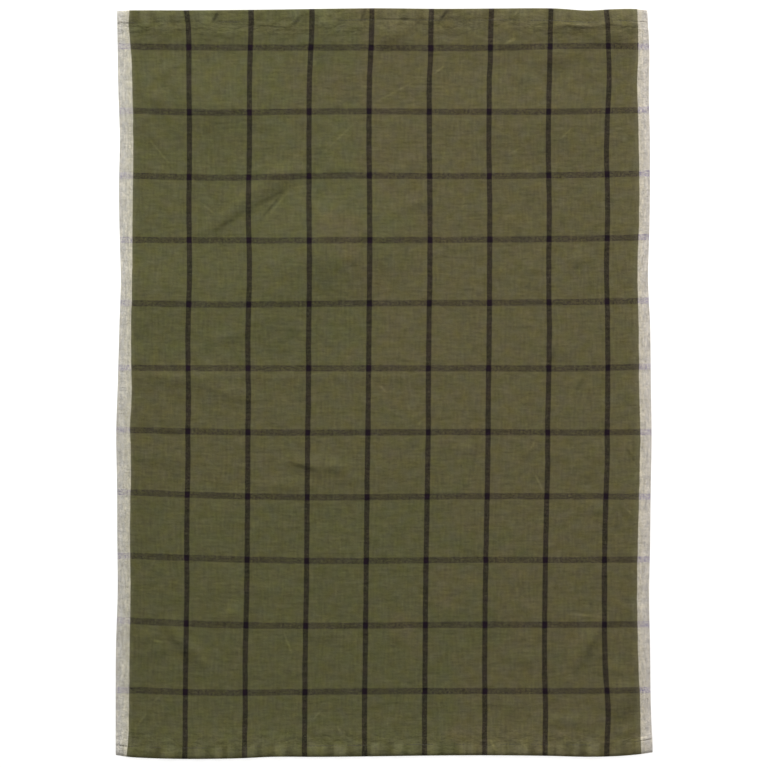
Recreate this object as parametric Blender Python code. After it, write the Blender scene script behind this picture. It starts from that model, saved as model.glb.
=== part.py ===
"""A woven tea towel that lies flat on a table, its two short ends hemmed.

Metres, +Z up. X runs across the towel, Y along it, and the origin is under its middle, on the table.
The towel is one closed solid: a thin sheet, thicker where an end is turned twice to the back, with
the soft folds that it lies in. Where no fold lifts it, its underside is flat on the table.
"""

import math
from collections import namedtuple

import bmesh
import bpy

MM = 0.001

# Driving dimensions, in metres.
TOWEL_WIDTH = 500 * MM
TOWEL_LENGTH = 700 * MM
CLOTH_THICK = 1.0 * MM
HEM_DEPTH = 12.5 * MM  # from the end's fold to the hem's inner fold
HEM_THICK = 2.2 * MM  # three layers of cloth, pressed
HEM_STEP_RUN = 0.3 * MM  # the hem's inner fold is this far from upright
HEM_RUN_OUT = 8.5 * MM  # past the hem the cloth comes down to the table over this length
END_ROUND = 0.6 * MM  # the end's fold is this much lower than the hem's top
END_ROUND_RUN = 1.5 * MM

# The grid of the sheet.
COLUMN_WIDTH = 6.25 * MM
ROW_LENGTH = 6.5 * MM
HEM_MIDDLE = 0.55 * HEM_DEPTH  # a row along the middle of the hem
RUN_OUT_ROWS = (0.45, 1.0)  # rows past the hem, as shares of its run out

OLIVE = (0.10, 0.092, 0.042, 1.0)
CLOTH_ROUGHNESS = 0.9
SHARP_ANGLE = math.radians(50)

# How far the woven side edges stand outside two straight lines, in millimetres, at this many
# millimetres up from the bottom end. A minus is drawn in.
Side = namedtuple("Side", "up left right")
SIDES = (
    Side(0, 1.0, 1.4),
    Side(50, 1.3, -0.3),
    Side(100, 1.0, -0.9),
    Side(150, -0.6, -1.9),
    Side(200, -0.2, -1.1),
    Side(250, 0.0, -0.3),
    Side(300, 0.8, 0.6),
    Side(350, -0.7, -0.1),
    Side(400, -2.1, -0.8),
    Side(445, -3.5, -2.9),
    Side(490, -2.4, -1.9),
    Side(530, -1.8, -1.0),
    Side(580, -2.6, -1.0),
    Side(620, -1.3, -1.9),
    Side(660, -0.6, -1.8),
    Side(700, -0.2, -3.6),
)

# How far the two hemmed ends stand outside straight lines, in millimetres, at this many millimetres
# from the left edge.
End = namedtuple("End", "across bottom top")
ENDS = (
    End(0, -1.5, -2.1),
    End(20, 0.5, -0.3),
    End(65, 1.7, -0.2),
    End(115, 1.2, 0.3),
    End(150, -0.8, 0.6),
    End(190, -0.3, 1.2),
    End(240, -0.9, 1.8),
    End(300, -1.7, 1.3),
    End(350, -1.8, 1.6),
    End(405, -1.2, 1.7),
    End(440, -0.5, -0.4),
    End(465, -1.0, 0.8),
    End(485, -2.5, 1.1),
    End(500, -4.6, -0.2),
)

# The folds that lift the towel off the table. Each is a soft ridge from one point to another,
# in millimetres from the left edge and from the bottom end, with its half width and its height.
FOLD_END_SHARE = 0.45  # of its height, at each end
Fold = namedtuple("Fold", "across up to_across to_up half_width height")
FOLDS = (
    # two long swells with a diagonal trough between them, upper left
    Fold(72, 500, 166, 553, 14, 2.4),
    Fold(98, 476, 190, 527, 15, 2.8),
    # a short crinkle under the middle
    Fold(160, 281, 193, 273, 8, 1.6),
    Fold(195, 283, 210, 270, 8, 2.2),
    Fold(166, 248, 184, 257, 9, 1.3),
    # the crease of the towel folded in half
    Fold(14, 353, 150, 353, 7, 0.8),
    Fold(150, 353, 286, 354, 7, 0.7),
    # a long thin crease that runs up to the right, and one at the upper left
    Fold(208, 587, 250, 617, 7, 0.8),
    Fold(246, 615, 317, 648, 7, 1.0),
    Fold(19, 594, 58, 552, 7, 1.0),
    # swells below the top hem
    Fold(40, 632, 52, 645, 11, 1.2),
    Fold(245, 672, 262, 676, 12, 1.4),
    Fold(362, 668, 398, 656, 11, 1.2),
    Fold(412, 675, 452, 674, 6, 1.2),
    # down the right side
    Fold(488, 600, 492, 660, 8, 1.5),
    Fold(384, 492, 386, 532, 10, 1.1),
    Fold(474, 238, 491, 220, 8, 1.2),
    # lower right
    Fold(420, 103, 443, 126, 10, 1.6),
    Fold(443, 88, 457, 105, 10, 1.5),
    Fold(411, 33, 454, 40, 9, 1.5),
    # left side and lower left
    Fold(104, 374, 113, 385, 10, 1.0),
    Fold(14, 23, 29, 44, 8, 1.1),
)

# The stitching draws each hem into lumps: the middle of each across the towel, its half width and
# its height, in millimetres.
Lump = namedtuple("Lump", "across half_width height")
TOP_LUMPS = (
    Lump(26, 12, 0.8),
    Lump(84, 14, 1.3),
    Lump(155, 15, 1.4),
    Lump(204, 13, 0.7),
    Lump(253, 16, 1.2),
    Lump(312, 12, 0.8),
    Lump(369, 14, 1.2),
    Lump(418, 16, 1.7),
    Lump(445, 15, 1.6),
    Lump(484, 12, 1.2),
)
BOTTOM_LUMPS = (
    Lump(14, 9, 0.6),
    Lump(50, 10, 1.1),
    Lump(79, 9, 0.9),
    Lump(104, 10, 1.2),
    Lump(130, 9, 0.9),
    Lump(155, 10, 1.2),
    Lump(211, 12, 1.3),
    Lump(246, 9, 0.9),
    Lump(269, 9, 1.0),
    Lump(296, 9, 0.8),
    Lump(327, 10, 1.2),
    Lump(360, 12, 1.3),
    Lump(386, 9, 1.0),
    Lump(414, 11, 1.3),
    Lump(445, 12, 1.4),
    Lump(478, 9, 0.9),
)
LUMP_REACH = 24 * MM  # a lump runs this far in from the end


def ease(share):
    """A smooth step from 0 to 1 as share goes from 0 to 1."""
    share = min(max(share, 0.0), 1.0)
    return share * share * (3 - 2 * share)


def hump(share):
    """1 at 0, falling smoothly to exactly 0 at 1 and past it."""
    return (1 - share * share) ** 2 if abs(share) < 1 else 0.0


def read_off(rows, place, column, at):
    """A smooth value between the rows of a table, in metres, at a distance in metres."""
    at = at / MM
    last = len(rows) - 1
    low = max(i for i in range(last) if getattr(rows[i], place) <= at or i == 0)
    places = [getattr(row, place) for row in rows]
    values = [getattr(row, column) for row in rows]

    def slope(i):
        before = max(i - 1, 0)
        after = min(i + 1, last)
        return (values[after] - values[before]) / (places[after] - places[before])

    span = places[low + 1] - places[low]
    share = (at - places[low]) / span
    rise = values[low + 1] - values[low]
    bend_low = slope(low) * span - rise
    bend_high = rise - slope(low + 1) * span
    off_straight = share * (1 - share) * (bend_low * (1 - share) + bend_high * share)
    return (values[low] + rise * share + off_straight) * MM


def fold_lift(fold, across, up):
    """How far one fold lifts the cloth at a point: a ridge that fades towards its two ends."""
    start = (fold.across * MM, fold.up * MM)
    run = (fold.to_across * MM - start[0], fold.to_up * MM - start[1])
    along = (across - start[0]) * run[0] + (up - start[1]) * run[1]
    share = min(max(along / (run[0] ** 2 + run[1] ** 2), 0.0), 1.0)
    away = math.hypot(across - start[0] - share * run[0], up - start[1] - share * run[1])
    fade = FOLD_END_SHARE + (1 - FOLD_END_SHARE) * math.sin(math.pi * share)
    return fold.height * MM * fade * hump(away / (fold.half_width * MM))


def hem_lift(lumps, across, inset):
    """How far the hem's lumps lift the cloth, this far in from the end."""
    reach = hump(inset / LUMP_REACH)
    if reach == 0:
        return 0.0
    lifts = (lump.height * hump((across - lump.across * MM) / (lump.half_width * MM)) for lump in lumps)
    return sum(lifts) * MM * reach


def lift(across, up):
    """Height of the towel's lowest layer over the table."""
    folds = sum(fold_lift(fold, across, up) for fold in FOLDS)
    ends = hem_lift(BOTTOM_LUMPS, across, up) + hem_lift(TOP_LUMPS, across, TOWEL_LENGTH - up)
    return folds + ends


def layers(across, up):
    """Heights of the towel's underside and of its face at a point of the flat towel."""
    low = lift(across, up)
    inset = min(up, TOWEL_LENGTH - up)
    if inset <= HEM_DEPTH + HEM_STEP_RUN / 2:
        rounding = END_ROUND * (1 - ease(inset / END_ROUND_RUN))
        return low, low + HEM_THICK - rounding
    down = ease((inset - HEM_DEPTH) / HEM_RUN_OUT)
    low += (HEM_THICK - CLOTH_THICK) * (1 - down)
    return low, low + CLOTH_THICK


def laid(across, up):
    """Where a point of the flat towel lies on the table, its four edges as uneven as they are."""
    left = -TOWEL_WIDTH / 2 - read_off(SIDES, "up", "left", up)
    right = TOWEL_WIDTH / 2 + read_off(SIDES, "up", "right", up)
    bottom = -TOWEL_LENGTH / 2 - read_off(ENDS, "across", "bottom", across)
    top = TOWEL_LENGTH / 2 + read_off(ENDS, "across", "top", across)
    x = left + (right - left) * across / TOWEL_WIDTH
    y = bottom + (top - bottom) * up / TOWEL_LENGTH
    return x, y


def row_places():
    """Distances of the grid's rows from the bottom end, close together at the hems."""
    past_hem = HEM_DEPTH + HEM_STEP_RUN
    at_end = [0, END_ROUND_RUN, HEM_MIDDLE, HEM_DEPTH, past_hem]
    at_end += [past_hem + HEM_RUN_OUT * share for share in RUN_OUT_ROWS]
    between = TOWEL_LENGTH - 2 * at_end[-1]
    count = round(between / ROW_LENGTH)
    middle = [at_end[-1] + between * i / count for i in range(1, count)]
    return at_end + middle + [TOWEL_LENGTH - place for place in reversed(at_end)]


def cloth_mesh():
    """The towel as one closed sheet: a grid for its underside, extruded to its face."""
    rows = row_places()
    columns = round(TOWEL_WIDTH / COLUMN_WIDTH)
    sheet = bmesh.new()
    bmesh.ops.create_grid(sheet, x_segments=columns, y_segments=len(rows) - 1, size=0.5)
    across_layer = sheet.verts.layers.float.new("across")
    up_layer = sheet.verts.layers.float.new("up")
    for vert in sheet.verts:
        vert[across_layer] = TOWEL_WIDTH * (vert.co.x + 0.5)
        vert[up_layer] = rows[round((vert.co.y + 0.5) * (len(rows) - 1))]
    underside = set(sheet.verts)
    bmesh.ops.extrude_face_region(sheet, geom=sheet.faces[:])
    for vert in sheet.verts:
        across, up = vert[across_layer], vert[up_layer]
        low, high = layers(across, up)
        x, y = laid(across, up)
        vert.co = (x, y, low if vert in underside else high)
    middle = [(max(v.co[i] for v in sheet.verts) + min(v.co[i] for v in sheet.verts)) / 2 for i in (0, 1)]
    bmesh.ops.translate(sheet, verts=sheet.verts[:], vec=(-middle[0], -middle[1], 0))
    bmesh.ops.recalc_face_normals(sheet, faces=sheet.faces[:])
    mesh = bpy.data.meshes.new("cloth")
    sheet.to_mesh(mesh)
    sheet.free()
    mesh.shade_smooth()
    mesh.set_sharp_from_angle(angle=SHARP_ANGLE)
    return mesh


def cloth_material():
    """Dull olive cloth."""
    material = bpy.data.materials.new("olive cloth")
    material.use_nodes = True
    shader = material.node_tree.nodes["Principled BSDF"]
    shader.inputs["Base Color"].default_value = OLIVE
    shader.inputs["Roughness"].default_value = CLOTH_ROUGHNESS
    shader.inputs["Metallic"].default_value = 0.0
    return material


def main():
    for old in list(bpy.data.objects):
        bpy.data.objects.remove(old)
    cloth = bpy.data.objects.new("cloth", cloth_mesh())
    cloth.data.materials.append(cloth_material())
    bpy.context.scene.collection.objects.link(cloth)


main()
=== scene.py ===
# %% [markdown]
# # A woven tea towel with turned hems
#
# The towel is one length of plain woven cloth. Its long sides are the loom's own edges, its two short
# ends are turned twice to the back and stitched, and it lies flat on a table with the soft creases of
# a washed cloth. The packed model already has its outline and its main folds as one solid. This
# script makes the cloth itself: a thin sheet with folds in the same places, its hems truly turned,
# the stitching, and a weave that follows the threads.

import math
from collections import namedtuple

import bmesh
import bpy
import numpy as np
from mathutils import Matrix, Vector, noise


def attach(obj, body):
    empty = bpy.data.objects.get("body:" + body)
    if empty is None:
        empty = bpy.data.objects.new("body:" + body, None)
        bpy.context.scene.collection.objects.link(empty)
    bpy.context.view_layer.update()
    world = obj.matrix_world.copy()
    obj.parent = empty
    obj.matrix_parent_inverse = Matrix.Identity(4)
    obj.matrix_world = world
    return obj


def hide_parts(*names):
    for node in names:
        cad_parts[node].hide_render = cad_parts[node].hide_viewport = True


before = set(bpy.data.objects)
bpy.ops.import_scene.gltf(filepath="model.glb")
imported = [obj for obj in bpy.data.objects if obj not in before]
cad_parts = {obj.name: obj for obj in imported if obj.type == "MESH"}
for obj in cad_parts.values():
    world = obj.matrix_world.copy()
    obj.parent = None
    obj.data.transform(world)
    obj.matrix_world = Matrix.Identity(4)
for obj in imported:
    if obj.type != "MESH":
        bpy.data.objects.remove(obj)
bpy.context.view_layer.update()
MM = 0.001

# %% [markdown]
# ## The camera
#
# The towel is seen from straight above. A long lens far away keeps its sides parallel, so the camera
# stands about two metres up. The distance follows from the lens and from how much of the table the
# picture takes in.

# %% The camera
VIEW_WIDTH = 718.8 * MM  # how much of the table the picture takes in
VIEW_MIDDLE = (0.0, -0.35 * MM)  # where on the table the picture's middle is
LENS = 100  # millimetres
camera = bpy.data.objects.new("camera", bpy.data.cameras.new("camera"))
camera.data.lens = LENS
camera_height = VIEW_WIDTH * LENS / camera.data.sensor_width
camera.location = (*VIEW_MIDDLE, camera_height)
bpy.context.scene.collection.objects.link(camera)
bpy.context.scene.camera = camera
print("the camera stands", round(camera_height, 3), "m above the table")

# %% [markdown]
# ## The table
#
# The towel lies on a plain white board. One flat face far larger than the view is enough for it, and
# one grid operator makes that face. A faint glow of its own keeps the board white right up to the
# towel, where the cloth takes some of the light away.

# %% The table
def plain_material(name, colour, roughness):
    """A material of one colour, set on its shader's own sockets."""
    material = bpy.data.materials.new(name)
    material.use_nodes = True
    shader = material.node_tree.nodes["Principled BSDF"]
    shader.inputs["Base Color"].default_value = (*colour, 1)
    shader.inputs["Roughness"].default_value = roughness
    return material


TABLE_SIZE = 6.0
TABLE_WHITE = (0.97, 0.97, 0.97)
TABLE_GLOW = 0.07
board = bmesh.new()
bmesh.ops.create_grid(board, x_segments=1, y_segments=1, size=TABLE_SIZE / 2)
table_mesh = bpy.data.meshes.new("table")
board.to_mesh(table_mesh)
board.free()
table = bpy.data.objects.new("table", table_mesh)
white_board = plain_material("white table", TABLE_WHITE, 0.8)
table_shader = white_board.node_tree.nodes["Principled BSDF"]
table_shader.inputs["Emission Color"].default_value = (1, 1, 1, 1)
table_shader.inputs["Emission Strength"].default_value = TABLE_GLOW
table_mesh.materials.append(white_board)
bpy.context.scene.collection.objects.link(table)
print("the table is", TABLE_SIZE, "m wide")

# %% [markdown]
# ## The light
#
# The light of a white room comes from all sides, and is the world's own colour. One large soft lamp,
# low beyond the towel's top end, gives the folds their shade and makes the top end a little brighter
# than the bottom. It casts no shadow, as in a tent of white cloth, so the table stays even.

# %% The light
ROOM_LIGHT = 0.533
LAMP_PLACE = Vector((0.0, 4.6, 2.0))
LAMP_SIZE = (1.6, 0.8)
LAMP_POWER = 382  # watts
room = bpy.data.worlds.new("white room")
room.use_nodes = True
room.node_tree.nodes["Background"].inputs["Color"].default_value = (1, 1, 1, 1)
room.node_tree.nodes["Background"].inputs["Strength"].default_value = ROOM_LIGHT
bpy.context.scene.world = room
bpy.context.scene.view_settings.view_transform = "Standard"

lamp = bpy.data.objects.new("lamp", bpy.data.lights.new("lamp", "AREA"))
lamp.data.shape = "RECTANGLE"
lamp.data.size, lamp.data.size_y = LAMP_SIZE
lamp.data.energy = LAMP_POWER
lamp.data.use_shadow = False
lamp.location = LAMP_PLACE
lamp.rotation_euler = (-LAMP_PLACE).to_track_quat("-Z", "Y").to_euler()
bpy.context.scene.collection.objects.link(lamp)
print("the lamp stands", round(LAMP_PLACE.length, 2), "m from the towel's middle")

# %% [markdown]
# ## The towel's sizes
#
# A common tea towel is 500 by 700 mm when finished. Each hem takes about 22 mm more of the cloth's
# length, because the end is turned twice. The layers of a hem lie a little apart, so that no two of
# them touch as meshes.

# %% The towel's sizes
TOWEL_WIDTH = 500 * MM
TOWEL_LENGTH = 700 * MM
CLOTH_THICK = 0.6 * MM
LAYER_PITCH = 0.7 * MM  # from one layer of a hem to the next
CLOTH_MIDDLE = 0.5 * MM  # the middle of the lowest layer over the table
HEM_FOLD = 12.0 * MM  # where the hem's inner fold begins to turn
RAW_EDGE = 3.6 * MM  # the raw edge lies inside the hem, this far from its end
print("a hem of three layers is", round((2 * LAYER_PITCH + CLOTH_THICK) / MM, 1), "mm thick")

# %% [markdown]
# ## How its edges and threads stray
#
# No towel lies quite true. Its edges stray from straight lines, and its threads are drawn aside on the
# way across, which the stripes show. Short tables say by how much at a few places, and smooth curves
# through them do the rest. A wave made by a formula would be too even for a real cloth.

# %% How its edges and threads stray
# How far the woven side edges stand outside two straight lines, in millimetres, at this many
# millimetres up from the bottom end. A minus is drawn in.
Side = namedtuple("Side", "up left right")
SIDES = (
    Side(0, 0.5, 1.4),
    Side(50, 0.8, -0.2),
    Side(100, 0.5, -0.8),
    Side(150, -1.1, -1.7),
    Side(200, -0.7, -0.8),
    Side(250, -0.5, -0.2),
    Side(300, 0.3, 0.6),
    Side(350, -1.2, -0.1),
    Side(400, -2.6, -0.7),
    Side(445, -4.0, -2.7),
    Side(490, -2.9, -1.5),
    Side(530, -2.3, -0.9),
    Side(580, -3.1, -1.0),
    Side(620, -1.8, -1.9),
    Side(660, -1.1, -1.5),
    Side(700, -0.7, -3.6),
)

# How far the two hemmed ends stand outside straight lines, in millimetres, at this many millimetres
# from the left edge.
End = namedtuple("End", "across bottom top")
ENDS = (
    End(0, -2.7, -1.4),
    End(20, -0.4, -1.2),
    End(65, 1.0, -1.2),
    End(115, 0.5, -0.8),
    End(150, -1.0, -0.4),
    End(190, -0.9, 0.2),
    End(240, -1.4, 0.7),
    End(300, -2.2, 0.2),
    End(350, -2.4, 0.5),
    End(405, -1.9, 0.6),
    End(440, -1.0, -1.4),
    End(465, -1.5, -0.2),
    End(485, -3.1, 0.1),
    End(500, -5.2, -1.1),
)

# How far the lengthwise threads are drawn to the right, in millimetres. Each row is one place up the
# towel, and its values are for the threads at these places across.
WARP_PLACES = (12, 66, 122, 206, 290, 403, 459, 489)
WARP_DRIFT = {
    0: (-2.5, -2.5, -2.5, -2.5, -2.5, -2.0, -0.5, 1.5),
    16: (-1.0, -2.0, -2.5, -2.5, -2.5, -2.0, 0.0, 1.0),
    44: (-0.5, -2.0, -2.0, -2.5, -2.5, -1.5, 1.0, 1.0),
    93: (0.0, -1.5, -2.0, -2.0, -2.0, -2.5, -2.0, -1.0),
    155: (1.0, -0.5, -0.5, -1.0, -1.5, -2.0, -2.5, -2.0),
    215: (0.5, -0.5, 0.0, -0.5, -0.5, -1.0, -2.0, -1.0),
    274: (1.5, 0.5, 0.5, 0.0, 0.5, 0.5, 0.0, 0.5),
    306: (0.5, 0.5, 0.5, 0.5, 1.0, 0.5, 0.0, 1.0),
    335: (2.0, 1.0, 1.0, 1.0, 1.0, 1.0, 0.5, 0.0),
    394: (1.5, 0.5, 0.5, 1.5, 1.5, 2.0, 0.5, -0.5),
    454: (2.5, 2.0, 2.0, 2.0, 2.5, 1.5, -0.5, -1.5),
    514: (3.0, 1.5, 1.0, 2.0, 2.5, 2.0, 0.5, 0.0),
    574: (3.5, 2.0, 2.0, 1.5, 2.0, 1.0, -0.5, -0.5),
    635: (2.5, 1.5, 2.0, 2.0, 2.0, 2.0, 2.0, -2.0),
    653: (2.0, 1.5, 2.5, 3.0, 3.0, 2.5, 1.5, -1.0),
    686: (-0.5, 1.0, 3.5, 4.5, 3.5, 3.0, 0.5, -1.5),
    700: (0.0, -1.0, 3.5, 4.5, 4.0, 3.5, -1.0, -2.0),
}

# How far the crosswise threads are drawn up the towel, in millimetres, in the same way.
WEFT_PLACES = (8, 97, 210, 321, 432, 495)
WEFT_DRIFT = {
    64: (-0.5, -3.0, -2.0, -1.5, -1.5, -0.5),
    124: (4.5, 0.5, -0.5, 0.5, 0.5, 1.0),
    184: (5.0, 2.0, 0.0, 1.0, 1.0, 1.5),
    244: (4.5, 1.0, -0.5, 0.5, 0.5, 0.0),
    304: (2.5, 0.5, 0.0, 0.5, 0.0, 0.5),
    364: (0.5, 0.0, 0.0, 0.0, 0.0, 1.5),
    424: (1.0, -0.5, 0.5, 1.0, 2.0, 3.0),
    484: (0.0, -0.5, -0.5, 0.0, 1.0, 2.5),
    545: (0.0, -2.0, 0.0, -0.5, 0.5, 2.0),
    605: (0.5, -1.0, 0.0, -0.5, 0.0, 1.5),
    665: (0.5, -0.5, -0.5, -1.0, 1.0, 0.5),
}
drifts = [*WARP_DRIFT.values(), *WEFT_DRIFT.values()]
print("a thread is drawn aside by up to", max(abs(drift) for row in drifts for drift in row), "mm")

# %% [markdown]
# ## Where each thread lies
#
# A point of the cloth is known by its threads: so far across, so far up. A smooth curve through the
# rows of the tables says where that point has come to lie. The same curves move the weave later,
# because its colours are put on by thread and not by place.

# %% Where each thread lies
def smooth_between(places, rows, at):
    """Values on a smooth curve through the rows of a table; `places` and `at` are in millimetres."""
    places = np.array(places, float)
    rows = np.array([np.broadcast_to(row, at.shape) for row in rows], float)
    index = np.arange(len(places))
    before = np.maximum(index - 1, 0)
    after = np.minimum(index + 1, len(places) - 1)
    slopes = (rows[after] - rows[before]) / (places[after] - places[before])[:, None]
    low = np.clip(np.searchsorted(places, at, side="right") - 1, 0, len(places) - 2)
    point = np.arange(len(at))
    span = places[low + 1] - places[low]
    share = (at - places[low]) / span
    rise = rows[low + 1, point] - rows[low, point]
    bend_low = slopes[low, point] * span - rise
    bend_high = rise - slopes[low + 1, point] * span
    off_straight = share * (1 - share) * (bend_low * (1 - share) + bend_high * share)
    return rows[low, point] + rise * share + off_straight


def drawn_right(across, up):
    """How far the towel's points are drawn to the right, in metres."""
    across_mm, up_mm = across / MM, up / MM
    sides = [side.up for side in SIDES]
    left = smooth_between(sides, [side.left for side in SIDES], up_mm)
    right = smooth_between(sides, [side.right for side in SIDES], up_mm)
    threads = [smooth_between(list(WARP_DRIFT), row, up_mm) for row in zip(*WARP_DRIFT.values())]
    places = (0, *WARP_PLACES, TOWEL_WIDTH / MM)
    return smooth_between(places, (-left, *threads, right), across_mm) * MM


def drawn_up(across, up):
    """How far the towel's points are drawn up, in metres."""
    across_mm, up_mm = across / MM, up / MM
    ends = [end.across for end in ENDS]
    bottom = smooth_between(ends, [end.bottom for end in ENDS], across_mm)
    top = smooth_between(ends, [end.top for end in ENDS], across_mm)
    threads = [smooth_between(WEFT_PLACES, row, across_mm) for row in WEFT_DRIFT.values()]
    places = (0, *WEFT_DRIFT, TOWEL_LENGTH / MM)
    return smooth_between(places, (-bottom, *threads, top), up_mm) * MM


mid_right = drawn_right(np.array([TOWEL_WIDTH]), np.array([TOWEL_LENGTH / 2]))
print("halfway up, the right edge stands out by", round(float(mid_right[0]) / MM, 2), "mm")

# %% [markdown]
# ## The folds
#
# A washed and half-smoothed cloth keeps low ridges, a few millimetres high. A cloth simulation would
# make folds of its own, not these. So each is put in one by one, as a soft ridge from one point to
# another with its own width and height. The main ones lie where the packed solid has them.

# %% The folds
Fold = namedtuple("Fold", "across up to_across to_up half_width height")  # all in millimetres
FOLDS = (
    # broad swells
    Fold(150, 472, 230, 482, 60, 4.8),
    Fold(105, 424, 190, 428, 54, 2.5),
    Fold(8, 430, 60, 436, 50, 2.2),
    Fold(320, 598, 450, 598, 45, 1.7),
    Fold(20, 612, 130, 616, 45, 2.7),
    # the long diagonal ridge at the upper left, and what lies round it
    Fold(77, 490, 120, 522, 10, 1.1),
    Fold(116, 521, 164, 552, 14, 1.6),
    Fold(135, 462, 245, 470, 20, 0.7),
    Fold(222, 526, 235, 527, 7, 0.9),
    Fold(128, 548, 172, 549, 8, 0.9),
    Fold(196, 552, 214, 554, 7, 0.9),
    Fold(180, 570, 190, 572, 7, 1.0),
    # a short crinkle under the middle
    Fold(160, 278, 194, 270, 8, 1.7),
    Fold(195, 274, 214, 270, 8, 2.0),
    Fold(186, 282, 196, 280, 7, 1.0),
    Fold(126, 252, 184, 256, 10, 0.8),
    Fold(200, 261, 240, 260, 8, 0.8),
    # the crease of the towel folded in half
    Fold(14, 357, 150, 356, 8, 0.9),
    Fold(150, 356, 286, 356, 8, 0.6),
    Fold(402, 381, 424, 380, 9, 1.0),
    # upper left
    Fold(38, 636, 56, 654, 8, 1.1),
    Fold(24, 619, 42, 616, 8, 1.0),
    Fold(74, 609, 120, 610, 10, 0.9),
    Fold(214, 608, 238, 634, 9, -1.2),
    Fold(19, 594, 58, 552, 7, 0.7),
    # below the top hem
    Fold(80, 678, 124, 677, 7, 0.7),
    Fold(240, 674, 264, 676, 12, 1.4),
    Fold(362, 667, 372, 666, 6, 1.1),
    Fold(388, 656, 425, 657, 14, 1.6),
    Fold(366, 640, 384, 633, 10, 1.2),
    Fold(432, 641, 458, 641, 7, 0.9),
    Fold(444, 651, 456, 651, 7, 0.8),
    Fold(403, 686, 455, 685, 7, 0.5),
    Fold(450, 671, 461, 671, 6, 1.0),
    Fold(463, 676, 474, 675, 6, 1.0),
    Fold(488, 600, 492, 660, 8, 1.2),
    # the middle and the right side
    Fold(262, 516, 290, 519, 9, 0.8),
    Fold(380, 534, 394, 528, 9, 0.9),
    Fold(378, 457, 392, 456, 7, 0.8),
    Fold(422, 464, 440, 465, 8, 1.0),
    Fold(322, 288, 334, 288, 8, 0.8),
    Fold(410, 283, 420, 283, 7, 0.9),
    Fold(440, 234, 462, 232, 8, 1.2),
    Fold(474, 238, 491, 220, 8, 1.0),
    # lower right
    Fold(433, 91, 456, 125, 12, 2.5),
    Fold(452, 96, 462, 99, 8, 1.0),
    Fold(460, 86, 474, 80, 8, 1.2),
    Fold(472, 64, 488, 66, 8, 1.0),
    Fold(458, 56, 484, 54, 24, 1.7),
    Fold(468, 26, 482, 26, 9, 1.0),
    Fold(405, 36, 450, 34, 9, 1.1),
    Fold(376, 94, 400, 94, 9, 0.9),
    # left side and lower left
    Fold(84, 389, 102, 396, 7, 0.7),
    Fold(102, 396, 122, 397, 7, 0.7),
    Fold(96, 336, 108, 338, 8, 0.8),
    Fold(22, 278, 64, 276, 8, 0.8),
    Fold(66, 287, 78, 286, 6, 0.7),
    Fold(36, 354, 84, 349, 9, 1.0),
    Fold(80, 348, 126, 337, 9, 1.3),
    Fold(46, 123, 84, 90, 9, 2.3),
    Fold(30, 99, 44, 101, 7, 1.0),
    Fold(20, 110, 40, 112, 8, 1.2),
    Fold(98, 132, 114, 132, 9, 1.2),
    Fold(90, 157, 162, 156, 7, 0.7),
    Fold(186, 118, 202, 116, 9, 0.8),
    Fold(14, 23, 29, 44, 8, 0.9),
)
print(len(FOLDS), "folds, the highest", max(fold.height for fold in FOLDS), "mm")

# %% [markdown]
# ## The lumps of the hems
#
# The stitching draws each hem together, so it stands up in lumps along its length. A hem is stiff,
# because it is three layers thick, so it stays straight over its depth and only tilts. Each lump has
# its middle across the towel, its half width, and its heights at the hem's end and at its inner fold.

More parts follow.
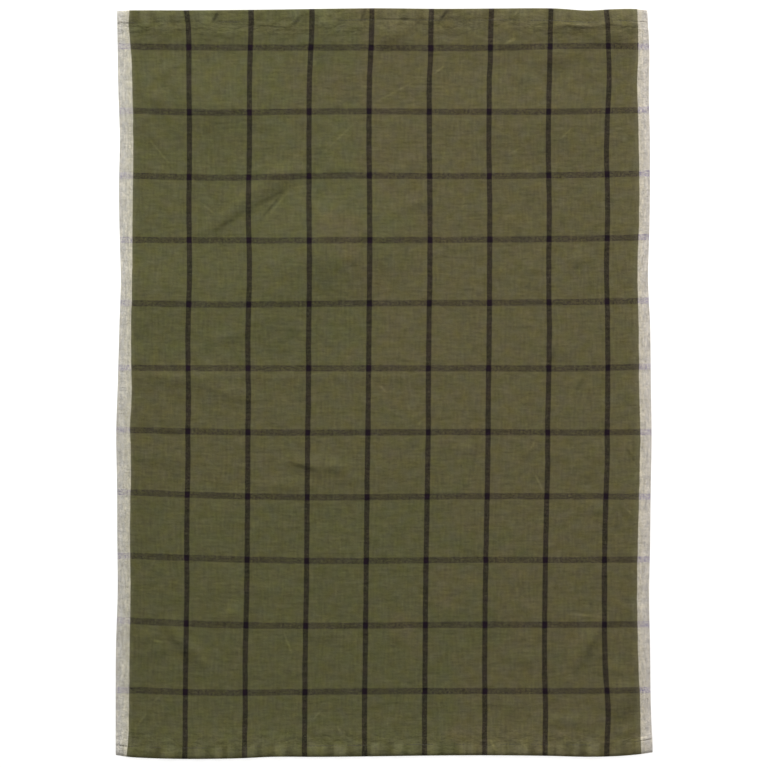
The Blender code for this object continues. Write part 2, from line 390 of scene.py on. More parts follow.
# %% The lumps of the hems
Lump = namedtuple("Lump", "across half_width at_end at_fold")  # all in millimetres
BOTTOM_LUMPS = (
    Lump(14, 4, 2.4, 0.0),
    Lump(24, 4, 1.3, 0.2),
    Lump(31, 2.5, 1.7, 0.0),
    Lump(41, 3.5, 0.0, 1.4),
    Lump(51, 6, 2.7, 0.0),
    Lump(66, 3.5, 0.4, 0.8),
    Lump(80, 4.5, 3.1, 0.0),
    Lump(87, 2.5, 0.0, 1.1),
    Lump(97, 3.2, 3.1, 0.0),
    Lump(103, 2.5, 0.0, 1.2),
    Lump(109, 2.6, 2.9, 0.0),
    Lump(115, 2.5, 0.0, 1.1),
    Lump(127, 6, 2.8, 0.0),
    Lump(135.5, 2.6, 0.0, 1.5),
    Lump(141, 2.5, 1.4, 0.2),
    Lump(155, 5, 4.2, 0.0),
    Lump(165, 4, 0.3, 0.7),
    Lump(172, 2.5, 1.7, 0.0),
    Lump(190, 8, 2.5, 0.0),
    Lump(201.5, 3.2, 0.0, 1.6),
    Lump(211.5, 6, 3.8, 0.0),
    Lump(221, 2.8, 0.1, 1.1),
    Lump(227, 3, 1.7, 0.1),
    Lump(238.5, 2.8, 0.0, 1.6),
    Lump(244, 2.8, 3.4, 0.0),
    Lump(251, 3.5, 1.4, 0.4),
    Lump(258, 3.2, 0.0, 1.4),
    Lump(266, 4.5, 3.7, 0.0),
    Lump(272.5, 2.5, 0.1, 1.0),
    Lump(280, 5, 1.9, 0.1),
    Lump(298, 5.5, 2.8, 0.0),
    Lump(306, 2.6, 0.0, 1.6),
    Lump(313, 4, 1.2, 0.5),
    Lump(320, 2.5, 0.1, 1.1),
    Lump(326, 3.5, 3.5, 0.0),
    Lump(334, 3, 2.5, 0.0),
    Lump(341, 2.5, 0.0, 0.8),
    Lump(351, 3.5, 2.9, 0.0),
    Lump(362, 5, 2.9, 0.0),
    Lump(372, 3, 1.9, 0.2),
    Lump(382, 5.5, 3.1, 0.0),
    Lump(391, 2.8, 0.3, 1.2),
    Lump(397, 2.5, 2.0, 0.0),
    Lump(407, 2.8, 3.2, 0.0),
    Lump(417, 4, 2.6, 0.0),
    Lump(424, 2.5, 0.0, 1.2),
    Lump(431, 3, 2.5, 0.0),
    Lump(437, 2.8, 0.0, 1.2),
    Lump(446.5, 6, 3.7, 0.0),
    Lump(455, 2.8, 0.0, 1.8),
    Lump(468, 4, 1.9, 0.0),
    Lump(474, 2.5, 0.1, 1.0),
    Lump(479, 2.5, 1.9, 0.0),
    Lump(487, 3, 2.2, 0.0),
)
TOP_LUMPS = (
    Lump(16, 3, 1.2, 0.0),
    Lump(27, 4, 0.0, 1.5),
    Lump(34, 2.5, 0.9, 0.0),
    Lump(45, 5, 0.0, 1.8),
    Lump(52, 2.5, 1.3, 0.0),
    Lump(60, 4, 0.3, 0.7),
    Lump(84, 6.5, 0.0, 1.8),
    Lump(93, 2.5, 1.4, 0.0),
    Lump(100, 4, 0.2, 1.0),
    Lump(113, 7, 1.0, 0.3),
    Lump(137, 7, 0.5, 0.8),
    Lump(146, 2.5, 1.1, 0.0),
    Lump(164, 4, 0.0, 1.5),
    Lump(172, 3, 1.2, 0.0),
    Lump(190, 5, 0.0, 1.8),
    Lump(199, 3, 0.0, 1.4),
    Lump(205, 2.5, 1.0, 0.0),
    Lump(217, 7, 0.5, 0.7),
    Lump(229, 2.5, 1.3, 0.0),
    Lump(253, 9, 0.0, 1.6),
    Lump(265, 2.5, 1.3, 0.0),
    Lump(272, 4, 0.0, 1.5),
    Lump(281, 3, 1.0, 0.0),
    Lump(288, 4, 0.2, 1.0),
    Lump(306, 4, 1.4, 0.0),
    Lump(318, 6, 0.9, 0.3),
    Lump(333, 7, 0.4, 0.8),
    Lump(344, 3, 1.1, 0.0),
    Lump(360, 5, 0.0, 1.2),
    Lump(369, 3, 1.1, 0.0),
    Lump(378, 5, 0.0, 1.7),
    Lump(391, 7, 0.0, 1.6),
    Lump(401, 2.5, 0.8, 0.2),
    Lump(413, 5, 0.0, 2.0),
    Lump(421, 2.5, 0.5, 0.9),
    Lump(431, 7, 0.0, 2.3),
    Lump(443, 4, 0.4, 1.6),
    Lump(454, 5, 0.0, 2.1),
    Lump(476, 13, 0.0, 2.4),
)
print(len(BOTTOM_LUMPS), "lumps along the bottom hem and", len(TOP_LUMPS), "along the top one")

# %% [markdown]
# ## Humps and smooth steps
#
# Folds and lumps need only two simple shapes: a hump that falls smoothly to nothing, and a smooth step.
# Each is a short formula. Both work on whole arrays, so thousands of points are done at once.

# %% Humps and smooth steps
def hump(share):
    """1 at 0, falling smoothly to exactly 0 at 1 and past it."""
    return (1 - np.minimum(share * share, 1)) ** 2


def ease(share):
    """A smooth step from 0 to 1 as share goes from 0 to 1."""
    share = np.clip(share, 0, 1)
    return share * share * (3 - 2 * share)


print("halfway out, a hump is still", round(float(hump(0.5)), 2), "of its height")

# %% [markdown]
# ## How far the cloth is lifted
#
# The height of any point is the sum of all its folds and lumps. A lifted hem takes some way to come down
# to the table past its inner fold. On top of these the whole cloth is faintly uneven, more so near
# the hems. A noise gives that, because nobody could place those swells one by one.

# %% How far the cloth is lifted
FOLD_END_SHARE = 0.45  # of a fold's height, at each of its ends
HEM_DEPTH = 13 * MM
HEM_RUN_OUT = 58 * MM  # how far past its inner fold a lifted hem takes to come down to the table
HEM_TIGHTNESS = 0.80  # the lumps' heights are all multiplied by this
LUMP_SIDES = 3.0  # the width of a lump's sloping sides, in millimetres


def fold_lift(fold, across, up):
    """How far one fold lifts the cloth: a ridge that fades towards its two ends."""
    start = (fold.across * MM, fold.up * MM)
    run = (fold.to_across * MM - start[0], fold.to_up * MM - start[1])
    along = (across - start[0]) * run[0] + (up - start[1]) * run[1]
    share = np.clip(along / (run[0] ** 2 + run[1] ** 2), 0, 1)
    away = np.hypot(across - start[0] - share * run[0], up - start[1] - share * run[1])
    fade = FOLD_END_SHARE + (1 - FOLD_END_SHARE) * np.sin(math.pi * share)
    return fold.height * MM * fade * hump(away / (fold.half_width * MM))


def on_lump(lump, across, sides):
    """1 on a lump's top and 0 beside it, with sloping sides of this width in millimetres."""
    return ease(0.5 + (lump.half_width - abs(across / MM - lump.across)) / sides)


def hem_lift(lumps, across, inset):
    """How far a hem's lumps lift the cloth, this far in from its end."""
    share = np.clip(inset / HEM_DEPTH, 0, 1)
    heights = [lump.at_end + (lump.at_fold - lump.at_end) * share for lump in lumps]
    lifted = sum(on_lump(lump, across, LUMP_SIDES) * height for lump, height in zip(lumps, heights))
    return HEM_TIGHTNESS * lifted * MM * (1 - ease((inset - HEM_DEPTH) / HEM_RUN_OUT))


SWELLS = ((21 * MM, 0.24 * MM), (9 * MM, 0.12 * MM))  # each one's size and its height
PUCKERS = ((10 * MM, 0.9 * MM), (5 * MM, 0.35 * MM))  # the same, near the hems only
PUCKER_REACH = 27 * MM


def unevenness(across, up, size, height):
    """Soft hills of this size and this height, by a noise."""
    points = zip(across / size, up / size)
    return np.array([height * (0.5 + 0.5 * noise.noise((x, y, size / MM))) for x, y in points])


def lift(across, up):
    """How far the folds lift the cloth off the table."""
    folds = sum(fold_lift(fold, across, up) for fold in FOLDS)
    ends = hem_lift(BOTTOM_LUMPS, across, up) + hem_lift(TOP_LUMPS, across, TOWEL_LENGTH - up)
    swells = sum(unevenness(across, up, *swell) for swell in SWELLS)
    near_hem = ease(1.5 - np.minimum(up, TOWEL_LENGTH - up) / PUCKER_REACH)
    puckers = sum(unevenness(across, up, *pucker) for pucker in PUCKERS) * near_hem
    return np.maximum(folds + ends + swells + puckers, 0)


middle_lift = lift(np.array([TOWEL_WIDTH / 2]), np.array([TOWEL_LENGTH / 2]))
print("the folds lift the towel's middle by", round(float(middle_lift[0]) / MM, 2), "mm")

# %% [markdown]
# ## The turned hems
#
# The cloth is a grid, one row of points after another from one raw edge to the other. A list of
# stations says how each row lies: through the hem's middle layer, round its inner fold, back under,
# and round the end's fold to the face. Flat strips laid on each other would be quicker to make, but
# one sheet keeps the weave in one piece round every turn, and each hem really has three layers.

# %% The turned hems
Station = namedtuple("Station", "up height run")  # run is the place along the cloth's own threads
TURN_STEPS = 4
INNER_RADIUS = LAYER_PITCH / 2  # a hem's inner fold turns round nothing
UNDER_ROWS = (4.5, 8.0, 10.5)  # the insets of the rows under a hem, in millimetres


def turn(inset, height, radius, side):
    """Points round a half turn of the cloth: from its top down to its bottom, on one side."""
    angles = [math.pi * step / TURN_STEPS for step in range(TURN_STEPS + 1)]
    return [(inset + side * radius * math.sin(a), height + radius * math.cos(a)) for a in angles]


def hem_turning(end_radius):
    """(inset, height) of the cloth from the face round both folds of a hem to its raw edge."""
    under = [(inset * MM, CLOTH_MIDDLE) for inset in UNDER_ROWS]
    middle = [(inset * MM, CLOTH_MIDDLE + LAYER_PITCH) for inset in reversed(UNDER_ROWS)]
    end_fold = turn(end_radius, CLOTH_MIDDLE + end_radius, end_radius, -1)
    inner_fold = turn(HEM_FOLD, CLOTH_MIDDLE + INNER_RADIUS, INNER_RADIUS, 1)[::-1]
    return end_fold + under + inner_fold + middle + [(RAW_EDGE, CLOTH_MIDDLE + LAYER_PITCH)]


print("a hem's turning has", len(hem_turning(LAYER_PITCH)), "rows of points")

# %% [markdown]
# ## The face over the hems
#
# On top of the turning the face rises over the raw edge inside, is held down by the stitching, and
# comes down to the table past the inner fold. The bottom end was pressed to a sharp fold and the top
# end stayed round, so each has its own heights. The rows are close together where the cloth bends.

# %% The face over the hems
BOTTOM_RADIUS = LAYER_PITCH / 2  # a sharp fold
TOP_RADIUS = LAYER_PITCH  # a round one
FaceRow = namedtuple("FaceRow", "inset bottom top")
FACE_ROWS = (  # the height of the face's middle at each of its rows over the two hems, in millimetres
    FaceRow(0.9, 1.50, 1.93),
    FaceRow(1.6, 1.90, 2.00),
    FaceRow(2.4, 2.12, 2.04),
    FaceRow(3.6, 2.20, 2.06),
    FaceRow(5.2, 2.17, 2.06),
    FaceRow(6.8, 2.10, 2.04),
    FaceRow(8.2, 2.02, 2.00),
    FaceRow(9.1, 1.97, 1.97),
    FaceRow(9.8, 1.94, 1.94),
    FaceRow(10.6, 1.91, 1.91),
    FaceRow(12.0, 1.87, 1.87),
)
RUN_OUT_ROWS = (13.6, 15.6, 17.8, 20.4, 23.2, 26.2)  # the insets of the rows just past a hem
BOTTOM_RUN_OUT = 36 * MM  # how far past the hem the face takes to come down to the table
TOP_RUN_OUT = 90 * MM


def run_out_height(inset, run_out):
    """The height of the face's middle past a hem, as it comes down to the table."""
    over_hem = FACE_ROWS[-1]
    left_over = max(1 - (inset - over_hem.inset * MM) / run_out, 0)
    return CLOTH_MIDDLE + (over_hem.bottom * MM - CLOTH_MIDDLE) * left_over**2


def hem_stations(end_radius, face_heights, run_out):
    """The rows of one hem, from its raw edge round to the face past it."""
    turning = hem_turning(end_radius)
    steps = [math.dist(a, b) for a, b in zip(turning, turning[1:])]
    runs = [end_radius - sum(steps[:i]) for i in range(len(turning))]
    hem = [Station(inset, height, run) for (inset, height), run in zip(turning, runs)]
    insets = [row.inset * MM for row in FACE_ROWS]
    face = [Station(inset, height * MM, inset) for inset, height in zip(insets, face_heights)]
    past = [inset * MM for inset in RUN_OUT_ROWS]
    run_outs = [Station(inset, run_out_height(inset, run_out), inset) for inset in past]
    return hem[::-1] + face + run_outs


bottom_rows = hem_stations(BOTTOM_RADIUS, [row.bottom for row in FACE_ROWS], BOTTOM_RUN_OUT)
top_rows = hem_stations(TOP_RADIUS, [row.top for row in FACE_ROWS], TOP_RUN_OUT)
print("the face over a hem is", max(row.bottom for row in FACE_ROWS), "mm high at its highest row")

# %% [markdown]
# ## All rows of the cloth
#
# Between the two hems the rows are evenly spaced. The top hem was made like the bottom one, so its rows
# are measured back from the top end and taken the other way round. The first and the last row's places
# along the threads give the length that the cloth was cut to.

# %% All rows of the cloth
ROW_LENGTH = 4.0 * MM


def middle_height(up):
    """The height of the face's middle between the hems, where either run-out may still lift it."""
    from_bottom = run_out_height(up, BOTTOM_RUN_OUT)
    from_top = run_out_height(TOWEL_LENGTH - up, TOP_RUN_OUT)
    return max(from_bottom, from_top)


last_up = bottom_rows[-1].up
between = TOWEL_LENGTH - 2 * last_up
steps = round(between / ROW_LENGTH)
middle_ups = [last_up + between * i / steps for i in range(1, steps)]
middle_rows = [Station(up, middle_height(up), up) for up in middle_ups]
top_down = [Station(TOWEL_LENGTH - s.up, s.height, TOWEL_LENGTH - s.run) for s in reversed(top_rows)]
rows = bottom_rows + middle_rows + top_down

# %% [markdown]
# ## Where the sheet lies
#
# Each point of the cloth goes to where its threads lie, at the height of its station and its folds. A
# hem is never folded quite true, so the stitched part strays a little. The tables of the edges hold as
# the camera sees them. A lifted point looks further out than it is, so it is drawn in by as much.

# %% Where the sheet lies
SEAM_ROW = FACE_ROWS[8]  # the row of the face on which the stitching lies
SEAM_INSET = SEAM_ROW.inset * MM
STITCH_PINCH = 0.05  # the stitching presses the hem's layers together by this share
STITCH_REACH = 2.2 * MM

# How much further in than usual each hem was folded and stitched, in millimetres, at this many
# millimetres from the left edge.
HemStray = namedtuple("HemStray", "across bottom top")
HEM_STRAYS = (
    HemStray(0, 0.2, 2.4),
    HemStray(50, 0.6, 1.8),
    HemStray(150, 0.9, 1.2),
    HemStray(260, 1.1, 0.3),
    HemStray(350, 1.2, 0.5),
    HemStray(430, 1.6, 1.8),
    HemStray(470, 2.4, 1.4),
    HemStray(500, 3.9, 1.6),
)


def hem_stray(across, up):
    """How far the stitched part of the hems strays up the towel, in metres."""
    places = [stray.across for stray in HEM_STRAYS]
    bottom = smooth_between(places, [stray.bottom for stray in HEM_STRAYS], across / MM)
    top = smooth_between(places, [stray.top for stray in HEM_STRAYS], across / MM)
    in_bottom = hump((up - SEAM_INSET) / SEAM_INSET)
    in_top = hump((TOWEL_LENGTH - up - SEAM_INSET) / SEAM_INSET)
    return (bottom * in_bottom - top * in_top) * MM


def stretched_over_table(across, up, height):
    """Where points of the cloth lie: how far across and up, and their height, as one array."""
    inset = np.minimum(up, TOWEL_LENGTH - up)
    pressed = height * (1 - STITCH_PINCH * hump((inset - SEAM_INSET) / STITCH_REACH))
    x = across - TOWEL_WIDTH / 2 + drawn_right(across, up)
    y = up - TOWEL_LENGTH / 2 + drawn_up(across, up) + hem_stray(across, up)
    lifted = lift(across, up)
    pulled_in = 1 - lifted / camera_height
    return np.stack([x * pulled_in, y * pulled_in, pressed + lifted], axis=1)


print("the stitching lies", round(SEAM_INSET / MM, 1), "mm in from each end")

# %% [markdown]
# ## The sheet of cloth
#
# One grid operator makes the sheet, with a row of points for each station. The grid comes out flat and
# square, so each point's place in it says which row and which column it belongs to, and the point is
# then moved there.

# %% The sheet of cloth
COLUMNS = 215
sheet = bmesh.new()
bmesh.ops.create_grid(sheet, x_segments=COLUMNS, y_segments=len(rows) - 1, size=0.5)
cloth_mesh = bpy.data.meshes.new("towel_cloth")
sheet.to_mesh(cloth_mesh)
sheet.free()

flat = np.empty(len(cloth_mesh.vertices) * 3)
cloth_mesh.vertices.foreach_get("co", flat)
flat = flat.reshape(-1, 3) + 0.5
across = flat[:, 0] * TOWEL_WIDTH
row_of = np.rint(flat[:, 1] * (len(rows) - 1)).astype(int)
up, height, run = (np.array(values)[row_of] for values in zip(*rows))
laid = stretched_over_table(across, up, height)
outline_middle = (laid[:, :2].max(axis=0) + laid[:, :2].min(axis=0)) / 2
laid[:, :2] -= outline_middle
cloth_mesh.vertices.foreach_set("co", laid.ravel())
print("the sheet has", len(cloth_mesh.vertices), "points")

# %% [markdown]
# ## The thread map
#
# A UV map can hold any two numbers for each point. This one holds the place of the point's threads in
# metres, across the cloth and along it. The weave is drawn on that map, so it bends and turns with the
# cloth, and goes round the hems as it does on the real towel.

# %% The thread map
threads = cloth_mesh.uv_layers.new(name="threads")
corner_points = np.empty(len(cloth_mesh.loops), int)
cloth_mesh.loops.foreach_get("vertex_index", corner_points)
thread_places = np.stack([across, run], axis=1)[corner_points]
threads.data.foreach_set("uv", thread_places.ravel())
print("the threads run from", round(run.min() / MM, 1), "to", round(run.max() / MM, 1), "mm along the cloth")

# %% [markdown]
# ## The pleats of the hems
#
# The pleats of the hems show on the real towel as paler and darker patches. Those that slope towards
# the towel's top end, where the lamp is, are the paler ones. Low lumps don't catch enough light for that, so
# the material paints their light and shade, and has to know where they are. An attribute, one number for each
# point, tells it.

# %% The pleats of the hems
PLEAT_SIDES = 1.9  # in millimetres: a patch has a sharper edge than the lump it lies on
PLEAT_DEPTH = 9 * MM  # a patch fades from here to the hem's inner fold


def pleat_tilt(lumps, across, inset):
    """How far a hem's lumps stand higher at its end than at its fold, in millimetres, on the hem only."""
    tilt = sum(on_lump(lump, across, PLEAT_SIDES) * (lump.at_end - lump.at_fold) for lump in lumps)
    return tilt * (1 - ease((inset - PLEAT_DEPTH) / (HEM_DEPTH - PLEAT_DEPTH)))


bottom_tilt = pleat_tilt(BOTTOM_LUMPS, across, up)
top_tilt = pleat_tilt(TOP_LUMPS, across, TOWEL_LENGTH - up)
pleats = cloth_mesh.attributes.new(name="pleats", type="FLOAT", domain="POINT")
pleats.data.foreach_set("value", bottom_tilt - top_tilt)
print("a lump's two heights differ by up to", round(float(abs(bottom_tilt).max()), 1), "mm")

# %% [markdown]
# ## The cloth's thickness
#
# The sheet so far has only one side. Solidify gives it two, each half of the cloth's thickness away
# from the points. Extruding would do it too, but Solidify keeps the thickness even round the sharp
# turns of the hems. The result is kept as the piece's own mesh.

# %% The cloth's thickness
SHARP_ANGLE = math.radians(50)
towel = bpy.data.objects.new("towel_cloth", cloth_mesh)
bpy.context.scene.collection.objects.link(towel)
thicken = towel.modifiers.new("cloth thickness", "SOLIDIFY")
thicken.thickness = CLOTH_THICK
thicken.offset = 0
thicken.use_even_offset = True
thickened = towel.evaluated_get(bpy.context.evaluated_depsgraph_get())
thick_mesh = bpy.data.meshes.new_from_object(thickened)
towel.modifiers.clear()
towel.data = thick_mesh
bpy.data.meshes.remove(cloth_mesh)
thick_mesh.name = "towel_cloth"
thick_mesh.shade_smooth()
thick_mesh.set_sharp_from_angle(angle=SHARP_ANGLE)
print("the cloth has", len(thick_mesh.polygons) * 2, "triangles")

# %% [markdown]
# ## The hem stitching
#
# A machine's lockstitch has one thread on the face and one on the back. Each lies on the cloth for a
# stitch's length and then dips into it, where the other thread catches it. Four points a stitch are
# enough for that shape.

# %% The hem stitching
STITCH_LENGTH = 2.9 * MM
SEAM_MARGIN = 0.3 * MM  # the seam stops this far short of the cloth's side edges
STITCH_POINTS = ((0.0, -0.6), (0.15, -0.05), (0.5, 0.0), (0.85, -0.05))  # share of its length, mm up

stitches = round(TOWEL_WIDTH / STITCH_LENGTH)
shares = np.array([k + share for k in range(stitches) for share, _ in STITCH_POINTS]) / stitches
rises = np.array([rise * MM for _ in range(stitches) for _, rise in STITCH_POINTS])
seam_across = SEAM_MARGIN + shares * (TOWEL_WIDTH - 2 * SEAM_MARGIN)
print("a seam has", stitches, "stitches")

# %% [markdown]
# ## How the thread lies
#
# Each end has a thread on its face and one on its back. In places the soft cloth swallows most of the
# thread. On the dense pale strips it can't, and the thread lies proud. A slow noise says where the
# cloth is soft.

# %% How the thread lies
THREAD_THICK = 0.56 * MM
THREAD_SINK = 0.50 * MM  # how deep the cloth swallows the thread where it is softest
SOFT_PATCH = 30 * MM  # the size of its soft and firm places
SOFT_CONTRAST = 1.6  # how clearly they differ
PROUD_PART = 13 * MM  # the thread lies proud this far in from each side
PROUD_FADE = 6 * MM


def sunk_depth(across, up):
    """How deep the cloth swallows the thread of the seam that lies this far up."""
    softness = np.array([noise.noise((place / SOFT_PATCH, up, 2.0)) for place in across])
    from_side = np.minimum(across, TOWEL_WIDTH - across)
    return THREAD_SINK * ease(0.5 + SOFT_CONTRAST * softness) * ease((from_side - PROUD_PART) / PROUD_FADE)


def seam_thread(up, layer_height, outwards):
    """The points of one thread; outwards is 1 on the face and -1 on the back."""
    count = len(seam_across)
    seam = stretched_over_table(seam_across, np.full(count, up), np.full(count, layer_height))
    seam[:, :2] -= outline_middle
    seam[:, 2] += outwards * (CLOTH_THICK / 2 + rises - sunk_depth(seam_across, up))
    return seam


seam_threads = [
    seam_thread(up, layer_height, outwards)
    for up in (SEAM_INSET, TOWEL_LENGTH - SEAM_INSET)
    for layer_height, outwards in ((SEAM_ROW.bottom * MM, 1), (CLOTH_MIDDLE, -1))
]
print("the bottom seam's upper thread is at most", round(seam_threads[0][:, 2].max() / MM, 1), "mm up")

# %% [markdown]
# ## The threads as one mesh
#
# A curve through those points with a round bevel is such a thread, and far lighter than hundreds of
# single stitches. The four curves are turned into one mesh, so the stitching is one piece.

# %% The threads as one mesh
# The thread is darker than the olive cloth: partly its own dark olive colour, partly painted shade of its
# needle holes and of the pinch of the stitches.
THREAD_OLIVE_AND_HOLE_SHADE = (0.038, 0.034, 0.021)
sewing = bpy.data.curves.new("hem_stitching", "CURVE")
sewing.dimensions = "3D"
sewing.bevel_depth = THREAD_THICK / 2
sewing.bevel_resolution = 1
sewing.use_fill_caps = True
for seam in seam_threads:
    thread = sewing.splines.new("POLY")
    thread.points.add(len(seam) - 1)
    thread.points.foreach_set("co", np.column_stack([seam, np.ones(len(seam))]).ravel())
sewing_path = bpy.data.objects.new("sewing path", sewing)
bpy.context.scene.collection.objects.link(sewing_path)
dressed = sewing_path.evaluated_get(bpy.context.evaluated_depsgraph_get())
stitch_mesh = bpy.data.meshes.new_from_object(dressed)
bpy.data.objects.remove(sewing_path)
stitch_mesh.name = "hem_stitching"
stitching = bpy.data.objects.new("hem_stitching", stitch_mesh)
bpy.context.scene.collection.objects.link(stitching)
stitch_mesh.shade_smooth()
stitch_mesh.materials.clear()
stitch_mesh.materials.append(plain_material("olive sewing thread", THREAD_OLIVE_AND_HOLE_SHADE, 0.8))
print("the stitching has", len(stitch_mesh.polygons), "faces")

# %% [markdown] ## The weave  The towel is a plain weave: each crosswise thread goes over one
# lengthwise thread and under the next. The material works the same way. It reads the thread map,
# gives every lengthwise and crosswise thread its own colour, and then shows whichever of the two is
# on top. All of it is a web of nodes, and a few short helpers make each node in one line.

# %% Small helpers for nodes
class Recipe:
    """A material's node tree, with short ways to add to it."""

    def __init__(self, material):
        self.tree = material.node_tree

    def add(self, kind, *values, **settings):
        """A new node with its settings, its first inputs fed with the values; returns its first output."""
        made = self.tree.nodes.new(kind)
        for name, value in settings.items():
            setattr(made, name, value)
        for socket, value in zip(made.inputs, values):
            self.feed(socket, value)
        return made.outputs[0]

    def feed(self, socket, value):
        """Links the value to the socket if it is another node's output, or else sets it."""
        if isinstance(value, bpy.types.NodeSocket):
            self.tree.links.new(value, socket)
        elif socket.type == "RGBA":
            socket.default_value = (*value, 1)
        else:
            socket.default_value = value

    def maths(self, operation, *values, use_clamp=False):
        """A sum, a product or another operation on one to three numbers."""
        return self.add("ShaderNodeMath", *values, operation=operation, use_clamp=use_clamp)

    def vector(self, x, y, z=0.0):
        """Three numbers as one place or one colour."""
        return self.add("ShaderNodeCombineXYZ", x, y, z)

    def mix(self, share, first, second):
        """Between two colours: the first where the share is 0, the second where it is 1."""
        made = self.tree.nodes.new("ShaderNodeMix")
        made.data_type = "RGBA"
        for index, value in ((0, share), (6, first), (7, second)):  # 1 to 5 are for plain numbers and vectors
            self.feed(made.inputs[index], value)
        return made.outputs[2]

    def times(self, colour, factor):
        """A colour times a number."""
        made = self.tree.nodes.new("ShaderNodeVectorMath")
        made.operation = "SCALE"
        self.feed(made.inputs[0], colour)
        self.feed(made.inputs["Scale"], factor)
        return made.outputs[0]

    def step(self, value, start, end):
        """0 where the value is at start, 1 where it is at end, and smooth between."""
        made = self.tree.nodes.new("ShaderNodeMapRange")
        made.interpolation_type = "SMOOTHSTEP"
        for socket, number in zip(made.inputs, (value, start, end, 0.0, 1.0)):
            self.feed(socket, number)
        return made.outputs[0]

    def noise(self, across, up, size_across, size_up, seed, detail=1.0, roughness=0.5):
        """A noise around 0, its patches about this size in millimetres; the seed picks the pattern."""
        x = self.maths("DIVIDE", across, size_across)
        y = self.maths("DIVIDE", up, size_up)
        made = self.tree.nodes.new("ShaderNodeTexNoise")
        self.feed(made.inputs["Vector"], self.vector(x, y, seed))
        made.inputs["Scale"].default_value = 1.0
        made.inputs["Detail"].default_value = detail
        made.inputs["Roughness"].default_value = roughness
        return self.maths("SUBTRACT", made.outputs[0], 0.5)

    def tinted(self, colour, tint):
        """A colour times another one, channel by channel."""
        return self.add("ShaderNodeVectorMath", colour, tint, operation="MULTIPLY")


print("a recipe has", len([name for name in vars(Recipe) if not name.startswith("_")]), "helpers")

# %% [markdown]
# ### The thread places
#
# The thread map says where on the flat cloth each point is. Everything in the weave is measured from
# it, so it is split once into millimetres across and millimetres up. No yarn lies quite straight, so a
# slow noise moves the edges of the stripes by a few tenths of a millimetre.

# %% The thread places
YARN_STRAY = 0.9
cloth_look = bpy.data.materials.new("olive check cloth")
cloth_look.use_nodes = True
weave = Recipe(cloth_look)
shader = weave.tree.nodes["Principled BSDF"]
thread_map = weave.tree.nodes.new("ShaderNodeUVMap")
thread_map.uv_map = "threads"
split = weave.tree.nodes.new("ShaderNodeSeparateXYZ")
weave.feed(split.inputs[0], thread_map.outputs[0])
across_mm = weave.maths("MULTIPLY", split.outputs[0], 1 / MM)
up_mm = weave.maths("MULTIPLY", split.outputs[1], 1 / MM)

stray_across = weave.maths("MULTIPLY", weave.noise(across_mm, up_mm, 5.0, 14.0, 3.1), YARN_STRAY)
stray_up = weave.maths("MULTIPLY", weave.noise(across_mm, up_mm, 14.0, 5.0, 7.7), YARN_STRAY)
across_yarn = weave.maths("ADD", across_mm, stray_across)
up_yarn = weave.maths("ADD", up_mm, stray_up)
print("the material starts from the map called", thread_map.uv_map)

# %% [markdown]
# ### The check
#
# Eight dark stripes run along the towel and eleven across it, at an even pitch. A pingpong of the
# distance measures how far a thread is from the nearest stripe's middle. One small function then makes
# all stripes of one direction, where single ones would take a node group each.

# %% The check
Check = namedtuple("Check", "first pitch half low high")  # all in millimetres
LONG_CHECK = Check(66.3, 56.1, 2.45, 30, 480)
CROSS_CHECK = Check(63.7, 60.1, 2.95, 30, 690)
YARN_FUZZ = 0.35


def stripes(place, check):
    """1 on the stripes of the check and 0 off them, only between its low and its high end."""
    away = weave.maths("PINGPONG", weave.maths("SUBTRACT", place, check.first), check.pitch / 2)
    on = weave.step(away, check.half + YARN_FUZZ, check.half - YARN_FUZZ)
    past_low = weave.step(place, check.low, check.low + 1)
    before_high = weave.step(place, check.high + 1, check.high)
    return weave.maths("MULTIPLY", on, weave.maths("MULTIPLY", past_low, before_high))


on_long = stripes(across_yarn, LONG_CHECK)
on_cross = stripes(up_yarn, CROSS_CHECK)
for check, way in ((LONG_CHECK, "along"), (CROSS_CHECK, "across")):
    print(int((check.high - check.first) // check.pitch) + 1, "dark stripes run", way, "the towel")

# %% [markdown]
# ### The pale strips
#
# A strip of undyed yarn runs along each long side, next to the loom's own edge. The olive just inside
# it is a little paler too. A smooth step over a fraction of a millimetre gives the strip a soft edge.

# %% The pale strips
LEFT_STRIP = 12.1
RIGHT_STRIP = 10.9
PALER_LEFT = 4.5  # how far the paler olive reaches from the strip towards the middle
PALER_RIGHT = 7.0
PALER_SHARE = 0.07  # how much of the pale yarn's colour it takes

right_inner = TOWEL_WIDTH / MM - RIGHT_STRIP
on_left = weave.step(across_yarn, LEFT_STRIP + YARN_FUZZ, LEFT_STRIP - YARN_FUZZ)
on_right = weave.step(across_yarn, right_inner - YARN_FUZZ, right_inner + YARN_FUZZ)
on_pale = weave.maths("ADD", on_left, on_right, use_clamp=True)
beside_left = weave.step(across_yarn, LEFT_STRIP + PALER_LEFT, LEFT_STRIP)
beside_right = weave.step(across_yarn, right_inner - PALER_RIGHT, right_inner)
paler_beside = weave.maths("MULTIPLY", weave.maths("MAXIMUM", beside_left, beside_right), PALER_SHARE)
print("the olive between the pale strips is", round(right_inner - LEFT_STRIP, 1), "mm wide")

# %% [markdown]
# ### The browner half
#
# The right half of the towel is a little browner than the left, with an uneven border between them, and
# a fainter brown band runs across the left half. A noise makes the border wander. Painting it by hand
# would work too, but a painted picture would have to be kept with the script.

# %% The browner half
BORDER_ACROSS = 210.0  # where the border is in the upper half
BORDER_SHIFT = 110.0  # how much further right it is in the lower half
BORDER_TURN = (400.0, 240.0)  # where up the towel it crosses over
BORDER_WANDER = 420.0  # a noise around 0 times this moves the border
BORDER_SOFTNESS = 45.0
BAND_UP = 305.0  # the brown band's middle
BAND_EDGE = (80.0, 45.0)  # from its middle: where it begins, and where it is full
BAND_SHARE = 0.6

